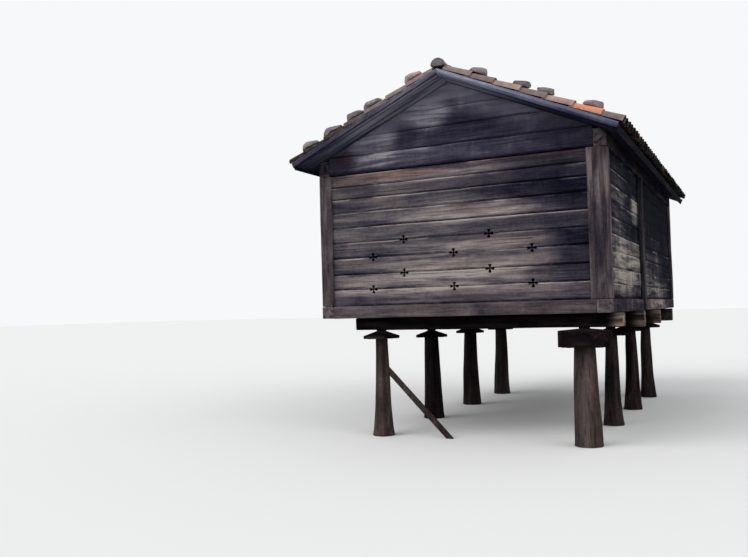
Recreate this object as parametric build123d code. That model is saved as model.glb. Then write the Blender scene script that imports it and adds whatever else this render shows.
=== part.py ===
from build123d import *
import math
import os

# Raised timber granary: a plank chamber in grooved posts, on legs with rat guards.
# Millimetres. X runs to the right along the front wall, Y to the back, Z up from the feet.

# Chamber
wall_width = 4200.0
wall_length = 7320.0
floor_height = 1700.0
post_height = 1935.0
post_size = 200.0
sill_height = 180.0
plank_thickness = 50.0
plank_recess = 45.0
groove_depth = 40.0
post_lip = 65.0
floor_thickness = 40.0
joint_gap = 0.3
cut_spare = 1.0

# Planks from the sill up, wide ones at the bottom as on the front wall
front_plank_heights = (235.0, 220.0, 245.0, 230.0, 220.0, 225.0, 200.0, 180.0, 180.0)
side_plank_heights = (200.0, 205.0, 235.0, 215.0, 225.0, 220.0, 215.0, 215.0, 205.0)

# Posts halfway along the side walls
mid_post_distance = 2950.0
mid_post_width = 160.0
mid_post_proud = 25.0
mid_post_lap = 60.0

# Vents cut across the joints of the lower front planks
vent_rows = 4
vent_reach_across = 65.0
vent_reach_up = 56.0
vent_waist = 22.0
vent_flare = 46.0
vent_shoulder_share = 0.8
vent_columns = (850.0, 2090.0, 3190.0)
vent_columns_between = (1340.0, 2605.0)

# Cross beams under the chamber
beam_width = 200.0
beam_depth = 235.0
front_beam_depth = 175.0
beam_edge = 14.0
beam_reach = 100.0
front_beam_setback = 510.0

# Legs
leg_row_count = 4
leg_row_pitch = 1900.0
first_leg_row = 200.0
left_leg_inset = 880.0
right_leg_inset = 400.0
leg_neck_radius = 72.0
leg_top_width = 165.0
leg_waist_width = 225.0
leg_foot_width = 300.0
leg_flare_height = 420.0
leg_corner_share = 0.24
sturdy_leg_extra = 50.0
stout_leg_extra = 95.0

# Rat guards round the leg necks
guard_radius = 265.0
guard_thickness = 105.0
guard_rim = 38.0
guard_gap = 20.0
drum_radius = 345.0
drum_thickness = 235.0
drum_rim = 205.0

# Prop leaning on the front left leg
prop_width = 75.0
prop_thickness = 60.0
prop_height = 1040.0
prop_spread = 1020.0
prop_spare = 300.0

# Roof
roof_pitch = 24.0
plate_width = 170.0
plate_height = 196.0
plate_setback = 6.0
plate_bevel_share = 0.5
ridge_beam_width = 130.0
ridge_beam_height = 190.0
gable_recess = 22.0
gable_thickness = 36.0
gable_board_height = 262.0
least_gable_board = 131.0
gable_gap = 8.0
board_thickness = 30.0
tile_thickness = 145.0
deck_reach = 172.0
verge_reach = 380.0
tile_drip = 55.0
barge_thickness = 28.0
barge_depth = 80.0
eave_board_thickness = 25.0
eave_board_drop = 32.0
ridge_tile_radius = 100.0
ridge_tile_sink = 60.0
ridge_tile_overhang = 14.0

# Round clay tiles: covers from ridge to eave, with pans between them
cover_width = 166.0
cover_rise = 95.0
cover_sides = 4
pan_gap = 32.0

# Flat stones that hold the tiles down, in lines from ridge to eave
stone_length = 290.0
stone_width = 210.0
stone_thickness = 68.0
stone_wedge_share = 0.45
stone_corner_count = 7
stone_unevenness = 0.11
stone_crown_share = 0.81
stone_size_spread = 0.14
stone_line_count = 5
stone_verge_distance = 120.0
stone_ridge_distance = 330.0
stone_stray_down = 60.0
stone_stray_along = 25.0
stone_shift = 40.0
stone_lobes = 5
stone_turn_by_place = 1.7
stone_turn_by_line = 2.3
stone_turn_by_side = 0.9
stone_outline_beat = 3.0
stone_size_beat = 4.1
stone_down_beat = 2.6
stone_along_beat = 3.3
left_stone_places = (10.0, 710.0, 1020.0, 1430.0, 1850.0)
right_stone_places = (170.0, 790.0, 1130.0, 1770.0)

# Levels and faces that follow from the sizes above
half_width = wall_width / 2
half_length = wall_length / 2
sill_top = floor_height + sill_height
plate_bottom = sill_top + post_height
slope = math.radians(roof_pitch)
rise = math.tan(slope)
eave_level = plate_bottom + plate_height
ridge_level = eave_level + half_width * rise
deck_end = (half_width + deck_reach) / math.cos(slope)
mid_post_y = -half_length + mid_post_distance


def block(x0, x1, y0, y1, z0, z1):
    """Rectangular timber between two corners."""
    return Pos((x0 + x1) / 2, (y0 + y1) / 2, (z0 + z1) / 2) * Box(x1 - x0, y1 - y0, z1 - z0)


def along_y(points, y0, y1):
    """Timber of one section, given in X and Z, running from y0 to y1."""
    outline = Polyline(*[(x, y0, z) for x, z in points], close=True)
    return extrude(make_face(outline), amount=y1 - y0, dir=(0, 1, 0))


def save(name, solids):
    """One file for each named piece."""
    parts = list(solids) if isinstance(solids, (list, tuple)) else [solids]
    bodies = [body for part in parts for body in part.solids()]
    export_step(bodies[0] if len(bodies) == 1 else Compound(children=bodies), f"parts/{name}.step")


def row_y(row):
    """Middle of one row of legs, counted from the front."""
    return -half_length + first_leg_row + row * leg_row_pitch


def beam_drop(row):
    """Depth of the cross beam on this row."""
    return front_beam_depth if row == 0 else beam_depth


def cross_beam(row):
    """Hewn beam on a pair of legs, ends showing past the walls."""
    left = -half_width + front_beam_setback if row == 0 else -half_width - beam_reach
    right = half_width + beam_reach
    y = row_y(row)
    drop = beam_drop(row)
    beam = block(left, right, y - beam_width / 2, y + beam_width / 2, floor_height - drop, floor_height)
    lower_edges = beam.edges().filter_by(Axis.X).sort_by(Axis.Z)[:2]
    return chamfer(lower_edges, beam_edge)


def stacked(rings):
    """Solid with flat sides through rings of equally many points, lowest ring first."""
    sides = []
    for lower, upper in zip(rings, rings[1:]):
        for n in range(len(lower)):
            corners = [lower[n - 1], lower[n], upper[n], upper[n - 1]]
            sides.append(Face(Wire.make_polygon(corners, close=True)))
    ends = [Face(Wire.make_polygon(ring, close=True)) for ring in (rings[0], rings[-1])]
    return Solid(Shell(sides + ends))


def octagon(width, z):
    """Section of a hewn trunk, corners knocked off."""
    half = width / 2
    cut = half - width * leg_corner_share
    quarter = [(half, -cut), (half, cut), (cut, half), (-cut, half)]
    return [(x, y, z) for x, y in quarter] + [(-x, -y, z) for x, y in quarter]


def leg_extra(row, right):
    """How much thicker than the slimmest one this leg is."""
    if row == 0:
        return stout_leg_extra if right else 0.0
    return 0.0 if right else sturdy_leg_extra


def guard_sizes(row, right):
    """Thickness at the neck, thickness at the rim and radius of one guard."""
    if row == 0 and right:
        return drum_thickness, drum_rim, drum_radius
    return guard_thickness, guard_rim, guard_radius


def leg_x(right):
    """Middle of the left or right column of legs."""
    return half_width - right_leg_inset if right else -half_width + left_leg_inset


def leg(row, right):
    """Tapered trunk with a flared foot and a round neck for its guard."""
    extra = leg_extra(row, right)
    thickness, _, _ = guard_sizes(row, right)
    top = floor_height - beam_drop(row)
    shoulder = top - guard_gap - thickness
    trunk = stacked([
        octagon(leg_foot_width + extra / 2, 0),
        octagon(leg_waist_width + extra, leg_flare_height),
        octagon(leg_top_width + extra, shoulder),
    ])
    neck = Pos(0, 0, shoulder) * extrude(Circle(leg_neck_radius), amount=top - shoulder)
    return Pos(leg_x(right), row_y(row), 0) * (trunk + neck)


def guard(row, right):
    """Wide wooden disc that keeps rats off, thick at the neck and thin at the rim."""
    thickness, rim, radius = guard_sizes(row, right)
    shoulder = floor_height - beam_drop(row) - guard_gap - thickness
    hole = leg_neck_radius + joint_gap
    section = Polyline(
        (hole, 0, joint_gap),
        (radius, 0, joint_gap),
        (radius, 0, rim),
        (hole, 0, thickness),
        close=True,
    )
    disc = revolve(make_face(section), Axis.Z)
    return Pos(leg_x(right), row_y(row), shoulder) * disc


def prop():
    """Sloping timber from the ground to the side of the front left leg."""
    lean = math.atan2(prop_height, prop_spread)
    length = math.hypot(prop_height, prop_spread) + prop_spare
    bar = Box(length, prop_thickness, prop_width)
    middle = Pos(leg_x(False) + prop_spread / 2, row_y(0), prop_height / 2)
    bar = middle * Rot(0, math.degrees(lean), 0) * bar
    ground = block(-wall_width, wall_width, -wall_length, wall_length, -floor_height, 0)
    behind = block(-2 * wall_width, leg_x(False), -wall_length, 0, -floor_height, floor_height)
    return bar - ground - behind - leg(0, False)


def side_sill(right):
    """Long bottom timber of a side wall, housed out for the mid post's foot."""
    side = 1 if right else -1
    outer = side * half_width
    inner = side * (half_width - post_size)
    sill = block(min(inner, outer), max(inner, outer), -half_length, half_length, floor_height, sill_top)
    seat = side * (half_width - mid_post_lap)
    reach = mid_post_width / 2 + joint_gap
    housing = block(min(seat, 2 * outer), max(seat, 2 * outer), mid_post_y - reach, mid_post_y + reach,
                    floor_height - cut_spare, sill_top + cut_spare)
    return sill - housing


def end_sill(back):
    """Bottom timber of the front or back wall, butted between the side sills."""
    reach = half_width - post_size - joint_gap
    outer = half_length if back else -half_length
    inner = outer - post_size if back else outer + post_size
    return block(-reach, reach, min(inner, outer), max(inner, outer), floor_height, sill_top)


def floor_boards():
    """Floor laid on the cross beams inside the sills."""
    x = half_width - post_size - joint_gap
    y = half_length - post_size - joint_gap
    return block(-x, x, -y, y, floor_height + joint_gap, floor_height + floor_thickness)


def corner_post(right, back):
    """Square post with one groove for the end wall and one for the side wall.

    The front right one has a lip that covers the planks' ends.
    """
    sx = 1 if right else -1
    sy = 1 if back else -1
    cx = sx * (half_width - post_size / 2)
    cy = sy * (half_length - post_size / 2)
    post = Pos(cx, cy, (sill_top + plate_bottom) / 2) * Box(post_size, post_size, post_height - 2 * joint_gap)
    groove_width = plank_thickness + 2 * joint_gap
    shift = post_size / 2 - plank_recess - plank_thickness / 2
    inward = post_size / 2 - groove_depth / 2
    end_groove = Pos(cx - sx * inward, cy + sy * shift, plate_bottom) * Box(
        groove_depth, groove_width, 3 * post_height)
    side_groove = Pos(cx + sx * shift, cy - sy * inward, plate_bottom) * Box(
        groove_width, groove_depth, 3 * post_height)
    if right and not back:
        inner = half_width - post_size
        post += block(inner - post_lip, inner, -half_length, -half_length + plank_recess - joint_gap,
                      sill_top + joint_gap, plate_bottom - joint_gap)
    return post - end_groove - side_groove


def mid_post(right):
    """Post that parts a side wall, grooved on both edges, its foot lapped over the sill."""
    sx = 1 if right else -1
    outer = sx * (half_width + mid_post_proud)
    inner = sx * (half_width - post_size)
    half = mid_post_width / 2
    post = block(min(inner, outer), max(inner, outer), mid_post_y - half, mid_post_y + half,
                 sill_top + joint_gap, plate_bottom - joint_gap)
    lap = sx * (half_width - mid_post_lap + joint_gap)
    foot = block(min(lap, outer), max(lap, outer), mid_post_y - half, mid_post_y + half,
                 floor_height, sill_top + joint_gap)
    groove_width = plank_thickness + 2 * joint_gap
    groove_x = sx * (half_width - plank_recess - plank_thickness / 2)
    body = post + foot
    for edge in (-1, 1):
        groove_y = mid_post_y + edge * (half - groove_depth / 2)
        body -= Pos(groove_x, groove_y, (sill_top + plate_bottom) / 2) * Box(
            groove_width, groove_depth, post_height)
    return body


def plank_levels(heights):
    """Bottom and top of every plank, stretched to fill the post's height."""
    scale = post_height / sum(heights)
    z = sill_top
    levels = []
    for height in heights:
        levels.append((z + joint_gap, z + height * scale))
        z += height * scale
    return levels


def petal(reach, turn):
    """One flared arm of a vent, cut right through the wall."""
    y = -half_length
    waist = vent_waist / 2
    flare = vent_flare / 2
    shoulder = reach * vent_shoulder_share
    sides = [
        Line((flare, y, shoulder), (waist, y, 0)),
        Line((waist, y, 0), (-waist, y, 0)),
        Line((-waist, y, 0), (-flare, y, shoulder)),
        ThreePointArc((-flare, y, shoulder), (0, y, reach), (flare, y, shoulder)),
    ]
    arm = extrude(make_face(sides), amount=2 * post_size, dir=(0, 1, 0))
    return Rot(0, turn, 0) * arm


def vent():
    """Cross of four petals meeting at a narrow waist."""
    cross = petal(vent_reach_up, 0)
    for reach, turn in ((vent_reach_across, 90), (vent_reach_up, 180), (vent_reach_across, 270)):
        cross += petal(reach, turn)
    return cross


def vent_places():
    """Middles of the vents: rows of three and two by turns, on the four lowest plank joints."""
    levels = plank_levels(front_plank_heights)
    places = []
    for row in range(vent_rows):
        columns = vent_columns_between if row % 2 else vent_columns
        for distance in columns:
            places.append((-half_width + distance, levels[row][1]))
    return places


def end_wall(back):
    """Planks slid into the corner posts' grooves; the front ones carry the vents."""
    reach = half_width - post_size + groove_depth - joint_gap
    sy = 1 if back else -1
    outer = sy * (half_length - plank_recess)
    inner = sy * (half_length - plank_recess - plank_thickness)
    planks = []
    for z0, z1 in plank_levels(front_plank_heights):
        plank = block(-reach, reach, min(inner, outer), max(inner, outer), z0, z1)
        if not back:
            for x, z in vent_places():
                if z0 - vent_reach_up < z < z1 + vent_reach_up:
                    plank -= Pos(x, 0, z) * vent()
        planks.append(plank)
    return planks


def side_wall(right):
    """Planks of a side wall in two fields, before and behind the mid post."""
    sx = 1 if right else -1
    outer = sx * (half_width - plank_recess)
    inner = sx * (half_width - plank_recess - plank_thickness)
    corner = half_length - post_size + groove_depth - joint_gap
    middle = mid_post_width / 2 - groove_depth + joint_gap
    planks = []
    for y0, y1 in ((-corner, mid_post_y - middle), (mid_post_y + middle, corner)):
        for z0, z1 in plank_levels(side_plank_heights):
            planks.append(block(min(inner, outer), max(inner, outer), y0, y1, z0, z1))
    return planks


def slope_point(along, out):
    """Place on the right slope, measured from the ridge down and out from the boards' underside."""
    x = along * math.cos(slope) + out * math.sin(slope)
    z = ridge_level - along * math.sin(slope) + out * math.cos(slope)
    return x, z


def slope_slab(right, inner, outer, end, y0, y1):
    """Layer of the roof between two distances from the underside, ridge to eave."""
    edge = joint_gap / 2
    points = [
        (edge, ridge_level - edge * rise + inner / math.cos(slope)),
        slope_point(end, inner),
        slope_point(end, outer),
        (edge, ridge_level - edge * rise + outer / math.cos(slope)),
    ]
    sx = 1 if right else -1
    return along_y([(sx * x, z) for x, z in points], y0, y1)


def above_roof(clearance):
    """Space over the boards' underside, used to trim what meets the roof."""
    wide = 2 * half_width
    top = ridge_level + wall_width
    base = ridge_level - clearance
    points = [(-wide, base - wide * rise), (0, base), (wide, base - wide * rise), (wide, top), (-wide, top)]
    return along_y(points, -wall_length, wall_length)


def wall_plate(right):
    """Long timber on the side wall's posts, its ends flush with the end walls."""
    sx = 1 if right else -1
    outer = sx * half_width
    inner = sx * (half_width - plate_width)
    reach = half_length - plate_setback
    top = eave_level + plate_width * rise * plate_bevel_share
    plate = block(min(inner, outer), max(inner, outer), -reach, reach, plate_bottom, top)
    return plate - above_roof(joint_gap)


def ridge_beam():
    """Beam under the ridge between the gables, its top hewn to both slopes."""
    half = ridge_beam_width / 2
    reach = half_length - gable_recess - gable_thickness - joint_gap
    beam = block(-half, half, -reach, reach, ridge_level - ridge_beam_height, ridge_level)
    return beam - above_roof(joint_gap)


def gable(back):
    """Wide boards closing a gable above the end wall, trimmed to the roof."""
    sy = 1 if back else -1
    outer = sy * (half_length - gable_recess)
    inner = sy * (half_length - gable_recess - gable_thickness)
    plate_edge = half_width - plate_width - joint_gap
    roof_room = above_roof(joint_gap)
    boards = []
    z = plate_bottom + gable_gap
    while ridge_level - z > least_gable_board:
        height = gable_board_height
        if ridge_level - z - height <= least_gable_board:
            height = ridge_level - z
        board = block(-plate_edge, plate_edge, min(inner, outer), max(inner, outer),
                      z, z + height - joint_gap)
        boards.append(board - roof_room)
        z += height
    return boards


def roof_boards(right):
    """Boards of one slope, resting on the ridge beam and the wall plate."""
    reach = half_length + verge_reach
    return slope_slab(right, 0, board_thickness, deck_end, -reach, reach)


def cover_middles():
    """Middle of every row of cover tiles, the first and last of them at the verges."""
    first = -half_length - verge_reach + cover_width / 2
    gaps = round(-2 * first / (cover_width + pan_gap))
    return [first - 2 * first * number / gaps for number in range(gaps + 1)]


def tile_section():
    """Section across the tiles of a slope: round covers and the pans between them."""
    reach = half_length + verge_reach
    crown = board_thickness + tile_thickness
    points = [(reach, board_thickness + joint_gap), (-reach, board_thickness + joint_gap)]
    for middle in cover_middles():
        for side in range(cover_sides + 1):
            turn = math.pi * side / cover_sides
            y = middle - cover_width / 2 * math.cos(turn)
            points.append((y, crown - cover_rise * (1 - math.sin(turn))))
    return points


def tiles(right):
    """Tiles of one slope, cut plumb where the slopes meet."""
    sx = 1 if right else -1
    start = -2 * (board_thickness + tile_thickness) * rise
    end = deck_end + eave_board_thickness + tile_drip
    outline = []
    for y, out in tile_section():
        x, z = slope_point(start, out)
        outline.append((sx * x, y, z))
    down = (sx * math.cos(slope), 0, -math.sin(slope))
    bed = extrude(make_face(Polyline(*outline, close=True)), amount=end - start, dir=down)
    far_side = block(-wall_width, joint_gap / 2, -wall_length, wall_length, 0, 2 * ridge_level)
    return bed - (far_side if right else Rot(0, 0, 180) * far_side)


def bargeboard(right, back):
    """Board on the verge that hides the ends of the roof boards."""
    inner = half_length + verge_reach + joint_gap
    outer = inner + barge_thickness
    y0, y1 = (inner, outer) if back else (-outer, -inner)
    return slope_slab(right, 0, barge_depth, deck_end + eave_board_thickness, y0, y1)


def eave_board(right):
    """Board along the lower ends of the roof boards, under the last tiles."""
    reach = half_length + verge_reach
    start = deck_end + joint_gap
    end = deck_end + eave_board_thickness
    points = [
        slope_point(start, -eave_board_drop),
        slope_point(end, -eave_board_drop),
        slope_point(end, board_thickness),
        slope_point(start, board_thickness),
    ]
    sx = 1 if right else -1
    return along_y([(sx * x, z) for x, z in points], -reach, reach)


def ridge_tiles():
    """Half-round cap over the meeting of the two slopes."""
    reach = half_length + verge_reach + ridge_tile_overhang
    apex = ridge_level + (board_thickness + tile_thickness) / math.cos(slope)
    centre = apex - ridge_tile_sink
    cap = Pos(0, -reach, centre) * Rot(-90, 0, 0) * extrude(Circle(ridge_tile_radius), amount=2 * reach)
    wide = wall_width
    below = along_y([(-wide, apex + joint_gap - wide * rise), (0, apex + joint_gap),
                     (wide, apex + joint_gap - wide * rise)], -wall_length, wall_length)
    lower = block(-wide, wide, -wall_length, wall_length, 0, apex - ridge_tile_radius)
    return cap - below - lower


def stone(size, turn, downhill):
    """Flat field stone with an uneven outline, thicker downhill so that it lies more level than the slope."""
    full_height = stone_thickness * size * (1 + stone_wedge_share)
    base = []
    crown = []
    for corner in range(stone_corner_count):
        angle = 2 * math.pi * corner / stone_corner_count + turn
        wobble = 1 + stone_unevenness * math.sin(stone_lobes * angle + stone_outline_beat * turn)
        x = stone_length / 2 * size * wobble * math.cos(angle)
        y = stone_width / 2 * size * wobble * math.sin(angle)
        base.append((x, y, 0))
        crown.append((x * stone_crown_share, y * stone_crown_share, full_height))
    lean = 2 * stone_wedge_share * stone_thickness / stone_length
    top = Plane((0, 0, stone_thickness * size), z_dir=(-downhill * lean, 0, 1))
    return split(stacked([base, crown]), bisect_by=top, keep=Keep.BOTTOM)


def roof_stones():
    """Stones on the covers of both slopes, one line near each verge and the others between."""
    first = -half_length - verge_reach + stone_verge_distance
    pitch = -2 * first / (stone_line_count - 1)
    out = board_thickness + tile_thickness + joint_gap
    stones = []
    for line in range(stone_line_count):
        cover = min(cover_middles(), key=lambda y: abs(y - first - line * pitch))
        inward = 1 if 2 * line < stone_line_count else -1
        for right, places in ((False, left_stone_places), (True, right_stone_places)):
            sx = 1 if right else -1
            for number, along in enumerate(places):
                turn = stone_turn_by_place * number + stone_turn_by_line * line + stone_turn_by_side * right
                size = 1 + stone_size_spread * math.sin(stone_size_beat * turn)
                stray = 0 if line == 0 else abs(stone_stray_down * math.sin(stone_down_beat * turn))
                x, z = slope_point(stone_ridge_distance + along + stray, out)
                y = cover + inward * (stone_shift + stone_stray_along * abs(math.sin(stone_along_beat * turn)))
                stones.append(Pos(sx * x, y, z) * Rot(0, sx * roof_pitch, 0) * stone(size, turn, sx))
    return stones


def build():
    """Write every piece."""
    os.makedirs("parts", exist_ok=True)
    row_names = ("front", "second", "third", "back")
    for row, name in zip(range(leg_row_count), row_names):
        save(f"legs_{name}", [leg(row, False), leg(row, True)])
        save(f"guards_{name}", [guard(row, False), guard(row, True)])
        save(f"beam_{name}", cross_beam(row))
    save("leg_prop", prop())
    save("floor_boards", floor_boards())
    for back, end_name in ((False, "front"), (True, "back")):
        save(f"sill_{end_name}", end_sill(back))
        save(f"wall_{end_name}", end_wall(back))
        save(f"gable_{end_name}", gable(back))
        for right, side_name in ((False, "left"), (True, "right")):
            save(f"corner_post_{end_name}_{side_name}", corner_post(right, back))
            save(f"bargeboard_{end_name}_{side_name}", bargeboard(right, back))
    for right, side_name in ((False, "left"), (True, "right")):
        save(f"sill_{side_name}", side_sill(right))
        save(f"mid_post_{side_name}", mid_post(right))
        save(f"wall_{side_name}", side_wall(right))
        save(f"wall_plate_{side_name}", wall_plate(right))
        save(f"roof_boards_{side_name}", roof_boards(right))
        save(f"tiles_{side_name}", tiles(right))
        save(f"eave_board_{side_name}", eave_board(right))
    save("ridge_beam", ridge_beam())
    save("ridge_tiles", ridge_tiles())
    save("roof_stones", roof_stones())


build()
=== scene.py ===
import math
import random

import bmesh
import bpy
from mathutils import Matrix, Vector


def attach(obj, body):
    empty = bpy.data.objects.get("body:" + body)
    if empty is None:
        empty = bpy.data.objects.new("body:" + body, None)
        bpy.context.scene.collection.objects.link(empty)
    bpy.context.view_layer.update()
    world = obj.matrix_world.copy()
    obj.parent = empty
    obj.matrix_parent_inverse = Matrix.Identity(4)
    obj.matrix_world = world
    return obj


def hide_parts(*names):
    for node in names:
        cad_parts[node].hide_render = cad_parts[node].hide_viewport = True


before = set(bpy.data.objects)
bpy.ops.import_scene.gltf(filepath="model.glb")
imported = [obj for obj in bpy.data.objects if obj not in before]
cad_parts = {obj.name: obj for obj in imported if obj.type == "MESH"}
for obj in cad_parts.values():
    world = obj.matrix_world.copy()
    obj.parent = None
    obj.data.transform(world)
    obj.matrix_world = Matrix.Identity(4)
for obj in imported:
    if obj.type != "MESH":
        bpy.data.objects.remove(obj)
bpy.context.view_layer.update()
chance = random.Random(41)

# Directions: across the front, along the sides, and up
ACROSS, ALONG, UP = range(3)

# Sizes of the building, in metres, as the solids have them
HALF_WIDTH = 2.1
HALF_LENGTH = 3.66
FLOOR = 1.7
SILL_TOP = 1.88
WALL_HEAD = 3.815
POST = 0.2
PLATE = 0.17
PLANK = 0.05
RECESS = 0.045
GROOVE = 0.04
SIDE_WALL_X = HALF_WIDTH - RECESS - PLANK / 2
END_WALL_Y = HALF_LENGTH - RECESS - PLANK / 2
MID_POST_Y = -0.71
MID_POST_HALF = 0.08
PITCH = math.radians(24.0)
EAVE_LEVEL = 4.011
RIDGE_LEVEL = EAVE_LEVEL + HALF_WIDTH * math.tan(PITCH)
DECK = 0.03
TILE_TOP = 0.175
COVER = 0.166
COVERS = 41
DECK_END = 2.272 / math.cos(PITCH)
VERGE = HALF_LENGTH + 0.38
TILE_END = DECK_END + 0.075
ROWS = (("front", -3.46), ("second", -1.56), ("third", 0.34), ("back", 2.24))
LEG_X = (-1.22, 1.7)
PROP_SPREAD, PROP_RISE = 1.02, 1.04
FRONT_PLANKS = (0.235, 0.220, 0.245, 0.230, 0.220, 0.225, 0.200, 0.180, 0.180)
SIDE_PLANKS = (0.200, 0.205, 0.235, 0.215, 0.225, 0.220, 0.215, 0.215, 0.205)
GABLE_BOARD = 0.262
VENT_ROWS = (
    (2.115, (-1.25, -0.01, 1.09)), (2.335, (-0.76, 0.505)),
    (2.58, (-1.25, -0.01, 1.09)), (2.81, (-0.76, 0.505)),
)

# Room at a plank's end in its groove, between two planks, and from a plank's middle to a cheek
SLACK = 0.003
JOINT = 0.0003
CHEEK = PLANK / 2 + 0.006

# Air left round sills, beams and loose boards
AIR = 0.002

# How far a cutter runs past the piece that it cuts
PAST = 0.1

# Tone that marks a broken tile among the stones
SHARD_TONE = 0.98


# Handling pieces
def sign(far):
    """1 on the right or at the back, -1 on the left or at the front."""
    return 1 if far else -1


def side_name(right):
    return "right" if right else "left"


def end_name(back):
    return "back" if back else "front"


def between(far, half, *depths):
    """Lower and upper limit of what lies between two depths behind an outer face."""
    return sorted(sign(far) * (half - depth) for depth in depths)


def clear_selection():
    bpy.ops.object.select_all(action="DESELECT")


def only(piece):
    """Select this piece and nothing else."""
    if bpy.context.object and bpy.context.object.mode != "OBJECT":
        bpy.ops.object.mode_set(mode="OBJECT")
    clear_selection()
    piece.hide_set(False)
    piece.select_set(True)
    bpy.context.view_layer.objects.active = piece


def settle(piece):
    """Write a piece's place into its mesh."""
    only(piece)
    bpy.ops.object.transform_apply(location=True, rotation=True, scale=True)


def gather(pieces):
    """Join several pieces into one."""
    only(pieces[0])
    for piece in pieces:
        piece.select_set(True)
    if len(pieces) > 1:
        bpy.ops.object.join()
    return bpy.context.object


def copy_of(piece, place):
    """A copy with its own mesh, moved by a matrix."""
    twin = piece.copy()
    twin.data = piece.data.copy()
    bpy.context.scene.collection.objects.link(twin)
    twin.data.transform(place)
    return twin


def drop(piece):
    """Take a pattern or a cutter away once it has been used."""
    mesh = piece.data
    bpy.data.objects.remove(piece)
    bpy.data.meshes.remove(mesh)


def note(piece, name, values):
    """Write one number for each point of a piece, for its finish to read."""
    notes = piece.data.attributes
    layer = notes.get(name) or notes.new(name, "FLOAT", "POINT")
    layer.data.foreach_set("value", values)
    return piece


def tint(piece, value=None):
    """Each board, tile or stone has its own tone."""
    value = chance.random() if value is None else value
    return note(piece, "tone", [value] * len(piece.data.vertices))


def mark_edges(piece, low, high, deep=0.012):
    """Note 1 on a plank's worn upper edge, which takes a painted highlight, and -1 on its damp
    lower edge.
    """
    heights = [vert.co.z for vert in piece.data.vertices]
    return note(piece, "rim", [float(z > high - deep) - float(z < low + deep) for z in heights])


def open_mesh(piece, mode="EDGE"):
    """Go into edit mode, to select points, edges or faces."""
    only(piece)
    bpy.ops.object.mode_set(mode="EDIT")
    bpy.ops.mesh.select_mode(type=mode)


def close_mesh():
    bpy.ops.object.mode_set(mode="OBJECT")


def pick_none(mesh):
    for part in (mesh.verts, mesh.edges, mesh.faces):
        for item in part:
            item.select = False


def pick_points(piece, wanted):
    """Select the points for which wanted(place) is true."""
    mesh = bmesh.from_edit_mesh(piece.data)
    for vert in mesh.verts:
        vert.select = wanted(vert.co)
    mesh.select_flush_mode()
    bmesh.update_edit_mesh(piece.data)


def pick_edges(piece, wanted):
    """Select the edges for which wanted(start, end) is true."""
    mesh = bmesh.from_edit_mesh(piece.data)
    pick_none(mesh)
    for edge in mesh.edges:
        if wanted(edge.verts[0].co, edge.verts[1].co):
            edge.select = True
    mesh.select_flush_mode()
    bmesh.update_edit_mesh(piece.data)


def pick_faces(piece, wanted):
    """Select the faces for which wanted(normal) is true."""
    mesh = bmesh.from_edit_mesh(piece.data)
    pick_none(mesh)
    for face in mesh.faces:
        if wanted(face.normal):
            face.select_set(True)
    bmesh.update_edit_mesh(piece.data)


def along_axis(a, b, axis):
    """True where an edge runs along this axis."""
    step = b - a
    return abs(step[axis]) > 0.98 * step.length


def block(low, high):
    """Squared block between two corners."""
    low, high = Vector(low), Vector(high)
    clear_selection()
    bpy.ops.mesh.primitive_cube_add(size=1, location=(low + high) / 2)
    piece = bpy.context.object
    piece.scale = high - low
    settle(piece)
    return piece


def round_piece(sides, radius, length, place=(0, 0, 0), turn=(0, 0, 0), ends="NGON"):
    """Round or many-sided length, to be shaped."""
    clear_selection()
    bpy.ops.mesh.primitive_cylinder_add(vertices=sides, radius=radius, depth=length,
                                        location=place, rotation=turn, end_fill_type=ends)
    piece = bpy.context.object
    settle(piece)
    return piece


def timber(low, high, run, cuts=8, across=1, worn=0.008):
    """Squared timber between two corners, cut into lengths, its long edges and ends worn round."""
    piece = block(low, high)
    low, high = Vector(low), Vector(high)
    size = high - low
    wide = max((axis for axis in range(3) if axis != run), key=lambda axis: size[axis])
    open_mesh(piece)
    if across > 1:
        pick_edges(piece, lambda a, b: along_axis(a, b, wide))
        bpy.ops.mesh.subdivide(number_cuts=across - 1)
    pick_edges(piece, lambda a, b: along_axis(a, b, run))
    bpy.ops.mesh.subdivide(number_cuts=cuts)

    def at_corner(a, b):
        """True on the four long corners and round both ends."""
        faces_met = 0
        for axis in range(3):
            if abs(a[axis] - b[axis]) < 1e-6:
                if min(abs(a[axis] - low[axis]), abs(a[axis] - high[axis])) < 1e-5:
                    faces_met += 1
        return faces_met == 2

    pick_edges(piece, at_corner)
    bpy.ops.mesh.bevel(offset=worn, segments=2, profile=0.6, affect="EDGES")
    close_mesh()
    return piece


def shape_modifier(piece, kind, **settings):
    """Add a modifier with these settings and apply it."""
    only(piece)
    bpy.ops.object.modifier_add(type=kind)
    made = piece.modifiers[-1]
    for key, value in settings.items():
        setattr(made, key, value)
    bpy.ops.object.modifier_apply(modifier=made.name)
    return piece


def unevenness(name, size, depth=2):
    """Cloud pattern that pushes surfaces in and out."""
    made = bpy.data.textures.new(name, "CLOUDS")
    made.noise_scale = size
    made.noise_depth = depth
    return made


def stretch_guide(run, stretch=5.0):
    """Guide object that draws an unevenness out along the grain."""
    clear_selection()
    bpy.ops.object.empty_add(location=(0, 0, 0))
    guide = bpy.context.object
    guide.scale = [stretch if axis == run else 1.0 for axis in range(3)]
    bpy.context.view_layer.update()
    return guide


hewn_pattern = unevenness("hewn surface", 0.16)
stone_pattern = unevenness("stone surface", 0.11, 3)
guides = {run: stretch_guide(run) for run in (ACROSS, ALONG, UP)}


def weather(piece, run, amount, direction="NORMAL"):
    """Uneven hewn and weathered surface, drawn out along the grain."""
    return shape_modifier(piece, "DISPLACE", texture=hewn_pattern, texture_coords="OBJECT",
                          direction=direction, texture_coords_object=guides[run],
                          strength=amount, mid_level=0.5)


def hewn(low, high, run, amount, tone=None, **cut):
    """Timber with its own tone and an uneven surface."""
    return weather(tint(timber(low, high, run, **cut), tone), run, amount)


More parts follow.
